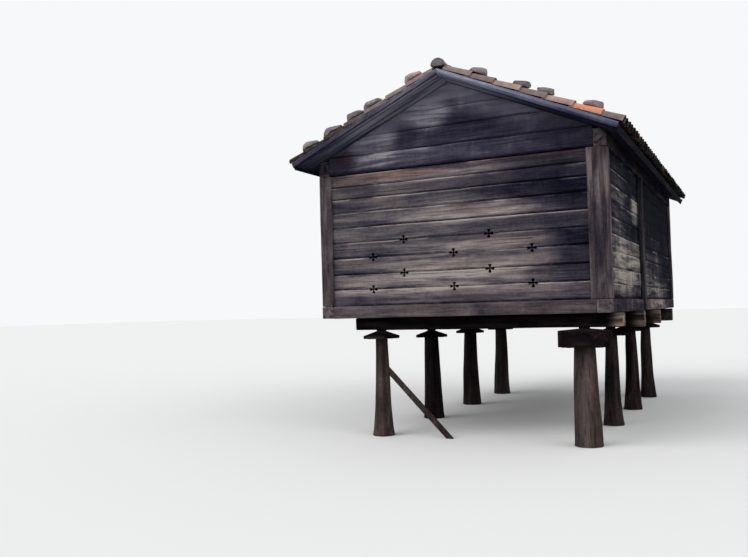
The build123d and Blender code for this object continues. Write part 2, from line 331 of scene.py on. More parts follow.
def weather_wall(piece, run, facing, amount):
    """Uneven wall face, and joints that wander, the same on both planks that meet there."""
    weather(piece, run, amount, facing)
    return weather(piece, run, amount * 0.8, "Z")


def cut_away(piece, point, normal):
    """Saw off what lies on the far side of a plane."""
    open_mesh(piece, "FACE")
    bpy.ops.mesh.select_all(action="SELECT")
    bpy.ops.mesh.bisect(plane_co=point, plane_no=normal, use_fill=True, clear_outer=True)
    close_mesh()


def cut_at_ground(piece, level):
    cut_away(piece, (0, 0, level), (0, 0, -1))


def carve(piece, cutter):
    """Cut the cutter's shape out of the piece, which keeps its tone."""
    tone = piece.data.attributes["tone"].data[0].value
    shape_modifier(piece, "BOOLEAN", operation="DIFFERENCE", solver="EXACT", object=cutter)
    drop(cutter)
    tint(piece, tone)


def hand_over(piece, node, kind, finish, crease=35):
    """Give a finished piece its name, finish and place on the building."""
    piece.name = piece.data.name = f"{node}_{kind}"
    only(piece)
    bpy.ops.object.shade_smooth_by_angle(angle=math.radians(crease))
    piece.data.materials.clear()
    piece.data.materials.append(finishes[finish])
    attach(piece, "root")
    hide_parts(node)


# Finishes
def add_node(tree, kind, inputs=None, **settings):
    """One node with its settings; inputs are values or sockets."""
    made = tree.nodes.new(kind)
    for key, value in settings.items():
        setattr(made, key, value)
    for key, value in (inputs or {}).items():
        if isinstance(value, bpy.types.NodeSocket):
            tree.links.new(value, made.inputs[key])
        else:
            made.inputs[key].default_value = value
    return made


def sum_up(tree, how, *values):
    """One step of arithmetic on values or sockets."""
    return add_node(tree, "ShaderNodeMath", dict(enumerate(values)), operation=how).outputs[0]


def times(tree, a, b):
    return sum_up(tree, "MULTIPLY", a, b)


def lifted(tree, total, pattern, weight):
    """A total with this much of a pattern added."""
    return sum_up(tree, "MULTIPLY_ADD", pattern, weight, total)


def weigh(tree, start, parts):
    """Sum of patterns, each about one half, with their weights."""
    total = start - sum(weight for _, weight in parts) * 0.5
    for pattern, weight in parts:
        total = lifted(tree, total, pattern, weight)
    return total


def noted(tree, name):
    """The number that a piece's points carry under this name."""
    return add_node(tree, "ShaderNodeAttribute", attribute_name=name).outputs["Fac"]


def own_place(tree, place, tone, shift):
    """Coordinates shifted by a piece's tone, so that no two pieces have the same pattern."""
    moved = add_node(tree, "ShaderNodeVectorMath", {0: shift, "Scale": tone}, operation="SCALE")
    return add_node(tree, "ShaderNodeVectorMath", {0: place, 1: moved.outputs[0]},
                    operation="ADD").outputs[0]


def stretched(tree, place, scale):
    """Coordinates scaled apart for a pattern that follows the grain."""
    return add_node(tree, "ShaderNodeMapping", {"Vector": place, "Scale": scale}).outputs[0]


def cloud(tree, place, size=1.0, detail=4.0, rough=0.6, warp=0.0):
    return add_node(tree, "ShaderNodeTexNoise", {
        "Vector": place, "Scale": size, "Detail": detail, "Roughness": rough,
        "Distortion": warp}).outputs[0]


def step_between(tree, value, low, high, start=0.0, end=1.0):
    """Smooth step from start to end as a value goes from low to high."""
    return add_node(tree, "ShaderNodeMapRange", {
        "Value": value, "From Min": low, "From Max": high, "To Min": start, "To Max": end},
        interpolation_type="SMOOTHSTEP").outputs[0]


def tones(tree, value, stops):
    """Colour ramp through stops of (place, colour)."""
    made = tree.nodes.new("ShaderNodeValToRGB")
    tree.links.new(value, made.inputs[0])
    ramp = made.color_ramp
    while len(ramp.elements) < len(stops):
        ramp.elements.new(0.5)
    for element, (place, colour) in zip(ramp.elements, stops):
        element.position = place
        element.color = (*colour, 1)
    return made.outputs[0]


def blend_colours(tree, amount, first, second, how="MIX"):
    made = add_node(tree, "ShaderNodeMixRGB", {"Fac": amount}, blend_type=how)
    for key, value in (("Color1", first), ("Color2", second)):
        if isinstance(value, bpy.types.NodeSocket):
            tree.links.new(value, made.inputs[key])
        else:
            made.inputs[key].default_value = (*value, 1)
    return made.outputs[0]


def stained(tree, amount, colour, glaze):
    """A colour seen through a thin glaze, by an amount."""
    return blend_colours(tree, amount, colour, blend_colours(tree, 1.0, colour, glaze, "MULTIPLY"))


def stain_mask(tree, place, middle, reach):
    """Soft patch about a middle, fading out over its reach along each axis."""
    moved = add_node(tree, "ShaderNodeMapping", {
        "Vector": place,
        "Location": tuple(-m / r for m, r in zip(middle, reach)),
        "Scale": tuple(1 / r for r in reach)}).outputs[0]
    length = add_node(tree, "ShaderNodeVectorMath", {0: moved}, operation="LENGTH")
    return step_between(tree, length.outputs["Value"], 1.15, 0.25)


def new_finish(name):
    """A new material and its nodes, still empty."""
    finish = bpy.data.materials.new(name)
    finish.use_nodes = True
    tree = finish.node_tree
    tree.nodes.clear()
    return finish, tree


def start_finish(name):
    """A new material, with the place and the tone that its patterns follow."""
    finish, tree = new_finish(name)
    place = tree.nodes.new("ShaderNodeTexCoord").outputs["Object"]
    return finish, tree, place, noted(tree, "tone")


def finish_surface(tree, colour, roughness, height, depth):
    """Dull surface, as old timber, clay and stone have, with its relief."""
    bump = add_node(tree, "ShaderNodeBump", {"Height": height, "Strength": 0.7, "Distance": depth})
    shader = add_node(tree, "ShaderNodeBsdfPrincipled", {
        "Base Color": colour, "Roughness": roughness, "Normal": bump.outputs[0],
        "Specular IOR Level": 0.012})
    add_node(tree, "ShaderNodeOutputMaterial", {0: shader.outputs[0]})


def paint(red, green, blue):
    """Surface colour from its display values, 0 to 255."""
    return tuple(value / 255 / 12.92 if value < 11 else ((value / 255 + 0.055) / 1.055) ** 2.4
                 for value in (red, green, blue))


def shades(*stops):
    """Colours from the darkest to the palest, as (place on the scale, red, green, blue)."""
    return tuple((place, paint(*colour)) for place, *colour in stops)


# Old bare timber from its darkest damp to its driest grey; some ramps also carry painted shade and
# painted light, as noted
WEATHERED = shades(
    (0.0, 9, 9, 15), (0.15, 29, 27, 38), (0.32, 57, 51, 59), (0.50, 88, 79, 83),
    (0.68, 119, 108, 109), (0.84, 142, 132, 131), (1.0, 172, 162, 157))
WASHED = shades(
    (0.0, 9, 10, 18), (0.15, 28, 28, 43), (0.32, 55, 52, 64), (0.50, 86, 80, 88),
    (0.68, 118, 109, 111), (0.84, 142, 132, 131), (1.0, 172, 162, 157))
# Darker timber colours; on the right wall they are painted shade of the eave
SHADED = shades(
    (0.0, 7, 9, 17), (0.15, 20, 21, 32), (0.32, 46, 45, 54), (0.50, 80, 76, 80),
    (0.68, 114, 108, 107), (0.84, 142, 135, 130), (1.0, 170, 162, 152))
# Bluish boards under the roof; the blue and the pale top are partly painted light, for hazy light
# in the roof's shade
DUSKY = shades(
    (0.0, 20, 19, 31), (0.2, 43, 40, 57), (0.4, 65, 62, 79), (0.6, 97, 93, 108),
    (0.8, 140, 136, 149), (1.0, 188, 184, 193))
BROWNED = shades(
    (0.0, 9, 7, 8), (0.2, 31, 25, 27), (0.4, 60, 50, 50), (0.6, 92, 79, 77),
    (0.8, 126, 111, 103), (1.0, 164, 149, 134))
BLEACHED = shades(
    (0.0, 20, 19, 28), (0.3, 57, 57, 76), (0.6, 105, 107, 128), (0.85, 138, 141, 160),
    (1.0, 170, 172, 184))
# Pale bluish colours of the roof boards' underside: painted light on the shaded soffit
PAINTED_SKYLIGHT = shades(
    (0.0, 18, 19, 31), (0.3, 50, 52, 72), (0.6, 100, 103, 126), (0.85, 150, 152, 172),
    (1.0, 184, 184, 198))

# Fired clay from sooty to new, clay under lichen, and field stone
CLAY = shades(
    (0.0, 40, 37, 35), (0.2, 78, 66, 60), (0.4, 112, 97, 92), (0.6, 146, 131, 128),
    (0.76, 184, 152, 140), (0.88, 216, 142, 112), (1.0, 240, 150, 112))
LICHENED = shades(
    (0.0, 66, 65, 67), (0.3, 106, 104, 106), (0.6, 136, 134, 136), (0.8, 146, 130, 122),
    (1.0, 162, 132, 116))
STONY = shades(
    (0.0, 58, 55, 57), (0.4, 106, 100, 103), (0.7, 148, 141, 144), (1.0, 184, 178, 178))


def near_roof(tree, place):
    """How near a gable board comes to the roof, fading out towards the foot of the slopes."""
    side, _, height = add_node(tree, "ShaderNodeSeparateXYZ", {0: place}).outputs
    off = sum_up(tree, "ABSOLUTE", side)
    below_slope = lifted(tree, height, off, math.tan(PITCH))
    near = step_between(tree, below_slope, RIDGE_LEVEL - 0.50, RIDGE_LEVEL - 0.04, 0.0, 0.65)
    return times(tree, near, step_between(tree, height, 4.05, 4.50, 0.3, 1.0))


def weathered_wood(name, run, level=0.45, stops=WEATHERED, stains=(), knots=(), each=0.14,
                   streak=0.75, patch=0.75, drip=0.15, fibre=0.5, crack=0.7, arris_wear_and_highlight=0.4,
                   painted_shade_below=0.0, brown=0.25, bump=0.006, sloped=False, painted_light_under_roof=0.0):
    """Old bare timber: fibres, streaks and cracks along the grain, patches, and runs of damp."""
    finish, tree, place, tone = start_finish(name)
    base = place
    if sloped:
        # Both slopes folded onto one, then turned so that the grain runs down the roof
        folded = add_node(tree, "ShaderNodeVectorMath", {0: place}, operation="ABSOLUTE")
        base = add_node(tree, "ShaderNodeMapping", {
            "Vector": folded.outputs[0], "Rotation": (0.0, -PITCH, 0.0)}).outputs[0]
    rim = noted(tree, "rim")
    own = own_place(tree, base, tone, (31.0, 17.0, 23.0))

    def grain(source, along, across):
        """Coordinates for a pattern so many times finer across the grain than along it."""
        return stretched(tree, source, tuple(along if axis == run else across for axis in range(3)))

    fibres = cloud(tree, grain(own, 3.0, 85), detail=7, rough=0.75, warp=0.3)
    streaks = cloud(tree, grain(own, 0.8, 11), detail=5, rough=0.58, warp=0.6)
    patches = cloud(tree, grain(base, 1.1, 3.4), detail=5, rough=0.55, warp=0.9)
    runs = cloud(tree, stretched(tree, base, (6.5, 6.5, 1.3)), detail=5, rough=0.6, warp=0.7)
    mottle = cloud(tree, own, size=22, detail=6, rough=0.7)
    splits = cloud(tree, grain(own, 1.1, 75), detail=3, rough=0.5, warp=0.8)
    split = times(tree, step_between(tree, splits, 0.60, 0.66),
                  step_between(tree, streaks, 0.40, 0.58))

    value = weigh(tree, level, [(fibres, fibre), (streaks, streak), (patches, patch),
                                (runs, drip), (mottle, 0.28), (tone, each)])
    for middle, reach, lift in stains:
        mask = stain_mask(tree, place, middle, reach)
        ragged = times(tree, mask, step_between(tree, streaks, 0.32, 0.60, 0.55, 1.15))
        value = lifted(tree, value, ragged, lift)
    # Pale upper edges: wear, and a painted highlight where light catches them
    if arris_wear_and_highlight:
        worn = times(tree, step_between(tree, rim, 0.62, 0.95),
                     step_between(tree, patches, 0.44, 0.60))
        value = lifted(tree, value, worn, arris_wear_and_highlight)
        damp = times(tree, step_between(tree, rim, -0.45, -0.98),
                     step_between(tree, runs, 0.30, 0.62, 0.3, 1.0))
        value = lifted(tree, value, damp, -0.30)
    # Painted shade: a board's lower part made darker
    if painted_shade_below:
        value = lifted(tree, value, step_between(tree, rim, 0.3, -0.5), -painted_shade_below)
    if painted_light_under_roof:
        # Painted light: the boards right under the roof are lifted paler and more even, for the
        # overhang's shade
        near = near_roof(tree, place)
        value = lifted(tree, value, near, sum_up(tree, "SUBTRACT", painted_light_under_roof, value))

    colour = tones(tree, value, stops)
    # Painted light: a bluish tint near the roof, for the hazy light in its shade
    if painted_light_under_roof:
        colour = stained(tree, near, colour, (0.95, 1.0, 1.16))
    if brown:
        warm = step_between(tree, cloud(tree, grain(own, 0.8, 7), detail=5), 0.50, 0.70, 0.0, brown)
        colour = stained(tree, warm, colour, (1.22, 0.93, 0.66))
    for middle, reach, amount in knots:
        spot = times(tree, stain_mask(tree, place, middle, reach),
                     step_between(tree, mottle, 0.3, 0.6, 0.4, amount))
        colour = stained(tree, spot, colour, (1.35, 0.92, 0.80))
    colour = blend_colours(tree, times(tree, split, crack), colour, paint(14, 12, 16))
    height = weigh(tree, 0.5, [(fibres, 1.0), (streaks, 0.8), (mottle, 0.25)])
    height = lifted(tree, height, split, -1.0)
    finish_surface(tree, colour, step_between(tree, fibres, 0.3, 0.7, 0.76, 0.95), height, bump)
    return finish


def clay(name, level, lichen=0.5, sooty=0.8, eaves=0.9, stops=CLAY):
    """Fired clay, faded, with soot, moss and pale lichen, darkest along the dripping eaves."""
    finish, tree, place, tone = start_finish(name)
    own = own_place(tree, place, tone, (11.0, 7.0, 5.0))
    blotches = cloud(tree, own, size=9, detail=6, rough=0.65, warp=0.3)
    grit = cloud(tree, own, size=70, detail=5, rough=0.7)
    soot = cloud(tree, place, size=1.6, detail=6, rough=0.65, warp=0.5)
    colour = tones(tree, weigh(tree, level, [(tone, 1.0), (blotches, 0.55), (grit, 0.25)]), stops)

    # Soot spares the newest tiles, and hardly takes on the washed tiles of the front verge
    x, y, _ = add_node(tree, "ShaderNodeSeparateXYZ", {0: place}).outputs
    older = step_between(tree, tone, 0.82, 0.86, 1.0, 0.12)
    away = step_between(tree, y, -VERGE + 0.17, -VERGE + 0.20)
    dark = times(tree, step_between(tree, soot, 0.42, 0.62, 0.0, sooty), older)
    dark = times(tree, dark, lifted(tree, 0.2, away, 0.8))
    colour = blend_colours(tree, dark, colour, paint(50, 46, 42))

    off = sum_up(tree, "ABSOLUTE", x)
    low = step_between(tree, off, 1.75, 2.25, 0.0, eaves)
    damp = step_between(tree, blotches, 0.35, 0.60, 0.80, 1.0)
    colour = blend_colours(tree, times(tree, times(tree, low, damp), away), colour,
                           paint(20, 27, 27))
    spots = cloud(tree, own, size=24, detail=4)
    spots = times(tree, step_between(tree, spots, 0.58, 0.66), lichen)
    if eaves:
        spots = times(tree, spots, step_between(tree, off, 2.10, 2.28, 1.0, 0.15))
    colour = blend_colours(tree, spots, colour, paint(118, 117, 108))
    height = weigh(tree, 0.5, [(blotches, 0.6), (grit, 0.6)])
    finish_surface(tree, colour, step_between(tree, grit, 0.3, 0.7, 0.75, 0.95), height, 0.003)
    return finish


def rock(name):
    """Flat field stone, grey-brown, with moss; a broken tile among them is pinker."""
    finish, tree, place, tone = start_finish(name)
    grain = cloud(tree, place, size=26, detail=7, rough=0.7)
    beds = cloud(tree, stretched(tree, place, (5, 5, 45)), detail=5)
    colour = tones(tree, weigh(tree, 0.64, [(tone, 0.35), (grain, 0.9), (beds, 0.6)]), STONY)
    shard = step_between(tree, tone, SHARD_TONE - 0.02, SHARD_TONE - 0.01)
    colour = stained(tree, shard, colour, (1.30, 0.98, 0.95))
    moss = step_between(tree, cloud(tree, place, size=9, detail=5), 0.55, 0.66, 0.0, 0.25)
    colour = blend_colours(tree, moss, colour, paint(84, 85, 68))
    height = weigh(tree, 0.5, [(grain, 0.8), (beds, 0.8)])
    finish_surface(tree, colour, step_between(tree, grain, 0.3, 0.7, 0.7, 0.95), height, 0.010)
    return finish


def on_front(y, *marks):
    """Marks on a face that looks forwards: (x, z, reach across, reach up, strength)."""
    return tuple(((x, y, z), (across, 1.0, up), strength) for x, z, across, up, strength in marks)


def on_side(x, *marks):
    """Marks on a face that looks sideways: (y, z, reach along, reach up, strength)."""
    return tuple(((x, y, z), (1.0, along, up), strength) for y, z, along, up, strength in marks)


# Marks on the timber, with how much paler or darker each makes it: weathering, and painted light
# and shade where noted
FRONT_STAINS = on_front(
    -3.6,
    (0.15, 3.14, 1.20, 0.18, 0.50), (-0.35, 2.23, 2.10, 0.19, 0.36),
    (0.10, 2.48, 1.60, 0.24, 0.32), (0.45, 2.70, 1.10, 0.15, 0.26),
    (-0.20, 2.06, 2.40, 0.10, 0.28), (0.10, 1.96, 1.35, 0.05, -0.06),
    (-1.60, 2.08, 0.50, 0.16, 0.14), (-0.70, 2.70, 0.60, 0.13, 0.17),
    (0.10, 3.33, 0.50, 0.09, 0.18), (-0.10, 3.53, 0.75, 0.08, -0.14),
    (-1.60, 3.10, 0.60, 0.45, 0.12), (1.25, 3.42, 1.40, 0.27, -0.30),
    (1.75, 2.80, 0.50, 0.90, -0.22), (1.10, 2.94, 1.00, 0.10, -0.20),
    (-0.55, 3.70, 1.90, 0.11, 0.22), (1.35, 3.72, 0.90, 0.22, -0.14))
# On the gable: pale patches, and painted light at the apex (0.00, 4.95), in the shade of the roof
GABLE_STAINS_AND_LIGHT = on_front(
    -3.6,
    (-0.33, 4.54, 0.42, 0.26, 0.74), (-1.22, 4.14, 0.52, 0.38, 0.50),
    (-0.93, 4.31, 0.17, 0.11, 0.20), (-0.60, 3.98, 0.80, 0.18, 0.26),
    (-1.66, 4.04, 0.24, 0.16, -0.14), (0.18, 4.66, 0.06, 0.12, 0.20),
    (0.00, 4.95, 0.90, 0.42, 0.40), (0.90, 3.95, 0.95, 0.12, 0.08))
# On the right wall: pale patches, partly the sky's sheen as a painted reflection; the last mark is
# painted shade of the eave
RIGHT_PATCHES_SHEEN_AND_SHADE = on_side(
    2.1,
    (-2.05, 2.38, 2.60, 0.50, 0.74), (-2.20, 1.98, 2.10, 0.18, 0.14),
    (-2.65, 3.10, 1.20, 0.55, 0.34), (-1.18, 3.24, 0.42, 0.30, 0.66),
    (-2.90, 3.36, 1.00, 0.26, 0.16), (1.00, 2.04, 2.10, 0.30, 0.56),
    (1.10, 2.48, 1.40, 0.30, 0.26), (1.60, 3.40, 2.60, 0.60, -0.20))
RIGHT_SILL_STAINS = on_side(2.1, (0.95, 1.79, 1.40, 0.4, 0.55), (-1.70, 1.79, 1.00, 0.4, 0.20))
RIGHT_BARGE_STAINS = on_front(-4.05, (0.15, 5.0, 1.05, 1.2, 0.17), (2.25, 4.05, 0.95, 0.9, -0.17))
LEFT_BARGE_STAINS = on_front(-4.05, (-0.15, 4.95, 1.25, 0.9, 0.16), (-2.10, 4.05, 1.00, 0.9, -0.12))
# Painted light on the roof boards' underside near the front verge
DECK_PAINTED_LIGHT = (
    ((-0.15, -3.9, 4.8), (2.00, 0.50, 1.0), 0.70),
    ((-1.50, -3.9, 4.2), (1.10, 0.50, 0.8), 0.34),
)

# The same at the ends of timbers, which look forwards or to the right
SILL_ENDS = (
    ((2.0, -3.66, 1.79), (0.4, 0.12, 0.4), 0.24),
    ((-2.0, -3.66, 1.79), (0.4, 0.12, 0.4), 0.30),
)
POST_STAINS = (
    ((2.0, -3.66, 3.55), (0.4, 0.20, 0.55), 0.16),
    ((2.0, -3.66, 2.65), (0.4, 0.20, 0.60), -0.10),
)
PLATE_ENDS = (
    ((2.0, -3.66, 3.90), (0.4, 0.10, 0.4), 0.36),
    ((-2.0, -3.66, 3.90), (0.4, 0.10, 0.4), 0.28),
)
# Beam ends past the right wall are paler: painted light where they stick out of the building's
# shade
LIT_BEAM_ENDS = (
    ((2.2, -3.46, 1.62), (0.20, 0.5, 0.4), 0.78),
    ((2.2, -1.56, 1.58), (0.22, 0.5, 0.4), 0.66),
    ((2.2, 0.34, 1.58), (0.22, 0.5, 0.4), 0.54),
    ((2.2, 2.24, 1.58), (0.22, 0.5, 0.4), 0.20),
)

# Reddish streaks under the wall head, and a knot in the gable, with their strength
HEAD_STREAKS = on_front(-3.6, (-0.85, 3.75, 1.25, 0.060, 0.95), (0.95, 3.80, 0.95, 0.025, 0.9))
GABLE_KNOTS = on_front(-3.6, (-1.66, 4.04, 0.17, 0.14, 0.9))

finishes = {
    "wall_front": weathered_wood(
        "front wall boards", ACROSS, level=0.49, stops=WASHED, stains=FRONT_STAINS,
        knots=HEAD_STREAKS, streak=0.8, patch=0.65, arris_wear_and_highlight=0.34),
    "wall_back": weathered_wood("back wall boards", ACROSS, level=0.50),
    # Dark level and ramp: painted shade of the eave over the right wall
    "wall_right": weathered_wood(
        "right wall boards", ALONG, level=0.14, stops=SHADED, stains=RIGHT_PATCHES_SHEEN_AND_SHADE,
        streak=0.5, patch=0.5, drip=0.8, brown=0.12),
    "wall_left": weathered_wood("left wall boards", ALONG, level=0.46, streak=0.6, drip=0.4),
    "gable": weathered_wood(
        "gable boards", ACROSS, level=0.33, stops=DUSKY, stains=GABLE_STAINS_AND_LIGHT, knots=GABLE_KNOTS,
        each=0.06, streak=0.5, patch=0.6, drip=0.3, brown=0.1, arris_wear_and_highlight=0.12, painted_light_under_roof=1.08),
    "post": weathered_wood(
        "post timber", UP, level=0.50, stains=POST_STAINS, streak=1.0, patch=0.9, drip=0.4,
        brown=0.5, bump=0.008),
    "mid_post": weathered_wood(
        "mid post timber", UP, level=0.27, stops=SHADED, streak=0.6, patch=0.9, brown=0.8,
        bump=0.008),
    "sill_end": weathered_wood(
        "end sill timber", ACROSS, level=0.53, each=0.05, brown=0.4, bump=0.008),
    "sill_side": weathered_wood(
        "side sill timber", ALONG, level=0.26, stains=RIGHT_SILL_STAINS + SILL_ENDS, each=0.05,
        drip=0.6, bump=0.008),
    # Beams given dark levels: painted shade under the floor
    "beam_front": weathered_wood(
        "front beam timber", ACROSS, level=0.05, stains=LIT_BEAM_ENDS, each=0.0, brown=0.5,
        stops=BROWNED, bump=0.008),
    "beam": weathered_wood(
        "cross beam timber", ACROSS, level=0.14, stains=LIT_BEAM_ENDS, each=0.1, brown=0.5,
        stops=BROWNED, bump=0.008),
    "plate": weathered_wood(
        "plate timber", ALONG, level=0.16, stains=PLATE_ENDS, each=0.05, brown=0.4, bump=0.008),
    # Legs, guards and floor boards get dark levels too: painted shade under the building
    "leg": weathered_wood(
        "leg timber", UP, level=0.30, streak=0.6, patch=0.6, each=0.45, brown=0.6,
        stops=BROWNED, crack=0.9, bump=0.012),
    "guard": weathered_wood(
        "guard timber", ACROSS, level=0.11, brown=0.5, stops=BROWNED, bump=0.008),
    "floor": weathered_wood("floor boards", ALONG, level=0.14, brown=0.5, stops=BROWNED),
    "deck": weathered_wood(
        "roof boards", ACROSS, level=0.20, stops=PAINTED_SKYLIGHT, stains=DECK_PAINTED_LIGHT, streak=0.25,
        patch=0.2, fibre=0.35, each=0.06, brown=0.1, arris_wear_and_highlight=0.0, crack=0.4, sloped=True),
    "eave": weathered_wood("eave boards", ALONG, level=0.06, stops=DUSKY, brown=0.2),
    # The right bargeboard's lower part is darkened: painted shade
    "barge_right": weathered_wood(
        "right bargeboard", ACROSS, level=0.70, stops=BLEACHED, stains=RIGHT_BARGE_STAINS,
        patch=0.35, each=0.0, brown=0.0, arris_wear_and_highlight=0.0, painted_shade_below=0.28, sloped=True),
    "barge_left": weathered_wood(
        "left bargeboard", ACROSS, level=0.49, stops=DUSKY, stains=LEFT_BARGE_STAINS,
        each=0.0, streak=0.4, brown=0.0, arris_wear_and_highlight=0.10, sloped=True),
    "barge_back": weathered_wood(
        "back bargeboards", ACROSS, level=0.50, stops=DUSKY, brown=0.2, sloped=True),
    "tile": clay("roof tiles", 0.42),
    "ridge": clay("ridge tiles", 0.46, lichen=0.9, sooty=0.4, eaves=0.0, stops=LICHENED),
    "stone": rock("roof stones"),
}


# Walls
def plank_levels(heights):
    """Lower and upper level of each plank, from the sill to the wall head."""
    scale = (WALL_HEAD - SILL_TOP) / sum(heights)
    z = SILL_TOP
    for height in heights:
        yield z, z + height * scale
        z += height * scale


def vent_cutter(x, z):
    """Star-shaped rod for one cross vent: four flared petals that meet at a narrow waist."""
    sides, radius = 32, 0.05
    quarter = sides // 4
    # How far out each point goes, from the middle of a petal round to the waist
    outline = (1.0, 1.0, 0.99, 0.42, 0.17)
    rod = round_piece(sides, radius, 0.3, turn=(math.pi / 2, 0, 0))

    def steps_off(point):
        """Steps round the rod from the middle of the nearest petal."""
        turn = math.atan2(point.z, point.x) / (2 * math.pi) * sides
        return abs((turn + quarter / 2) % quarter - quarter / 2)

    open_mesh(rod, "VERT")
    for step, share in enumerate(outline):
        pick_points(rod, lambda point: abs(steps_off(point) - step) < 0.3)
        across = 0.066 / radius * share
        up = 0.060 / radius * share
        bpy.ops.transform.resize(value=(across, 1, up), center_override=(0, 0, 0))
    close_mesh()
    rod.data.transform(Matrix.Translation((x, -END_WALL_Y, z)))
    return rod


def end_wall(back):
    """Planks of an end wall in the corner posts' grooves, the front ones with cross vents."""
    reach = HALF_WIDTH - POST + GROOVE - SLACK
    y0, y1 = between(back, HALF_LENGTH, RECESS, RECESS + PLANK)
    planks = []
    for z0, z1 in plank_levels(FRONT_PLANKS):
        lean = chance.uniform(-0.004, 0.004)
        plank = timber((-reach, y0 + lean, z0 + JOINT), (reach, y1 + lean, z1 - JOINT), ACROSS,
                       cuts=30, across=4, worn=chance.uniform(0.007, 0.013))
        mark_edges(plank, z0, z1)
        weather_wall(tint(plank), ACROSS, "Y", 0.016)
        if not back:
            for z, row in VENT_ROWS:
                if z0 - 0.06 < z < z1 + 0.06:
                    for x in row:
                        carve(plank, vent_cutter(x, z))
            mark_edges(plank, z0, z1, 0.017)
        planks.append(plank)
    node = f"wall_{end_name(back)}"
    hand_over(gather(planks), node, "planks", node)


def side_wall(right):
    """Planks of a side wall in two fields, before and behind the mid post."""
    x0, x1 = between(right, HALF_WIDTH, RECESS, RECESS + PLANK)
    corner = HALF_LENGTH - POST + GROOVE - SLACK
    middle = MID_POST_HALF - GROOVE + SLACK
    planks = []
    for y0, y1 in ((-corner, MID_POST_Y - middle), (MID_POST_Y + middle, corner)):
        for z0, z1 in plank_levels(SIDE_PLANKS):
            lean = chance.uniform(-0.004, 0.004)
            plank = timber((x0 + lean, y0, z0 + JOINT), (x1 + lean, y1, z1 - JOINT), ALONG,
                           cuts=int((y1 - y0) * 7), across=3, worn=chance.uniform(0.007, 0.013))
            planks.append(tint(mark_edges(plank, z0, z1)))
    wall = weather_wall(gather(planks), ALONG, "X", 0.016)
    node = f"wall_{side_name(right)}"
    hand_over(wall, node, "planks", node)


def corner_post(right, back):
    """Hewn corner post with a groove for each wall."""
    edge, mouth = 0.004, 0.03
    x0, x1 = between(right, HALF_WIDTH, edge, POST - edge)
    y0, y1 = between(back, HALF_LENGTH, edge, POST - edge)
    post = hewn((x0, y0, SILL_TOP), (x1, y1, WALL_HEAD), UP, 0.016,
                cuts=16, across=3, worn=0.014)
    foot, head = SILL_TOP - PAST, WALL_HEAD + PAST
    x0, x1 = between(right, HALF_WIDTH, POST - GROOVE, POST + mouth)
    y0, y1 = between(back, HALF_LENGTH, POST - GROOVE, POST + mouth)
    x, y = sign(right) * SIDE_WALL_X, sign(back) * END_WALL_Y
    carve(post, block((x0, y - CHEEK, foot), (x1, y + CHEEK, head)))
    carve(post, block((x - CHEEK, y0, foot), (x + CHEEK, y1, head)))
    if right and not back:
        lip = hewn((1.838, -HALF_LENGTH + 0.006, SILL_TOP + 0.001),
                   (1.908, -HALF_LENGTH + 0.040, WALL_HEAD - 0.001), UP, 0.006, 0.4,
                   cuts=16, across=2, worn=0.006)
        post = gather([post, lip])
    node = f"corner_post_{end_name(back)}_{side_name(right)}"
    hand_over(post, node, "timber", "post")


def mid_post(right):
    """Post between the two fields of a side wall, its foot lapped over the sill."""
    proud, lap, mouth = 0.022, 0.058, 0.03
    x0, x1 = between(right, HALF_WIDTH, -proud, POST)
    post = hewn((x0, MID_POST_Y - MID_POST_HALF, FLOOR),
                (x1, MID_POST_Y + MID_POST_HALF, WALL_HEAD), UP, 0.010,
                cuts=18, across=3, worn=0.010)
    x0, x1 = between(right, HALF_WIDTH, lap, POST + PAST)
    carve(post, block((x0, MID_POST_Y - 0.2, FLOOR - PAST), (x1, MID_POST_Y + 0.2, SILL_TOP)))
    x = sign(right) * SIDE_WALL_X
    for back in (False, True):
        y0, y1 = (MID_POST_Y + y for y in between(back, MID_POST_HALF, GROOVE, -mouth))
        carve(post, block((x - CHEEK, y0, SILL_TOP), (x + CHEEK, y1, WALL_HEAD + PAST)))
    hand_over(post, f"mid_post_{side_name(right)}", "timber", "mid_post")


def end_sill(back):
    """Bottom timber of an end wall, between the side sills."""
    y0, y1 = between(back, HALF_LENGTH, 0.004, POST)
    reach = HALF_WIDTH - POST - 0.001
    sill = hewn((-reach, y0, FLOOR + AIR), (reach, y1, SILL_TOP - AIR), ACROSS, 0.012, 0.5,
                cuts=28, across=3, worn=0.012)
    hand_over(sill, f"sill_{end_name(back)}", "timber", "sill_end")


def side_sill(right):
    """Long bottom timber of a side wall, notched for the mid post's foot."""
    x0, x1 = between(right, HALF_WIDTH, 0.004, POST)
    sill = hewn((x0, -HALF_LENGTH + 0.003, FLOOR + AIR),
                (x1, HALF_LENGTH - 0.003, SILL_TOP - AIR), ALONG, 0.012, 0.5,
                cuts=48, across=3, worn=0.012)
    x0, x1 = between(right, HALF_WIDTH, -PAST, 0.060)
    reach = MID_POST_HALF + 0.004
    carve(sill, block((x0, MID_POST_Y - reach, FLOOR - PAST),
                      (x1, MID_POST_Y + reach, SILL_TOP + PAST)))
    hand_over(sill, f"sill_{side_name(right)}", "timber", "sill_side")


def floor():
    """Floor boards laid on the cross beams."""
    reach_x = HALF_WIDTH - POST - AIR
    reach_y = HALF_LENGTH - POST - AIR
    count = 17
    width = 2 * reach_x / count
    boards = []
    for number in range(count):
        x = -reach_x + number * width
        board = timber((x + AIR, -reach_y, FLOOR + 0.001),
                       (x + width - AIR, reach_y, FLOOR + 0.038), ALONG, cuts=20, worn=0.004)
        boards.append(tint(board))
    hand_over(gather(boards), "floor_boards", "laid", "floor")


# Legs and what lies on them
def beam_underside(row):
    """Level of a cross beam's underside; the front beam is shallower."""
    return FLOOR - (0.175 if row == 0 else 0.235)


def has_drum(row, right):
    """The front right guard is a thick drum, on a stout leg."""
    return row == 0 and right


def guard_thickness(row, right):
    return 0.235 if has_drum(row, right) else 0.105


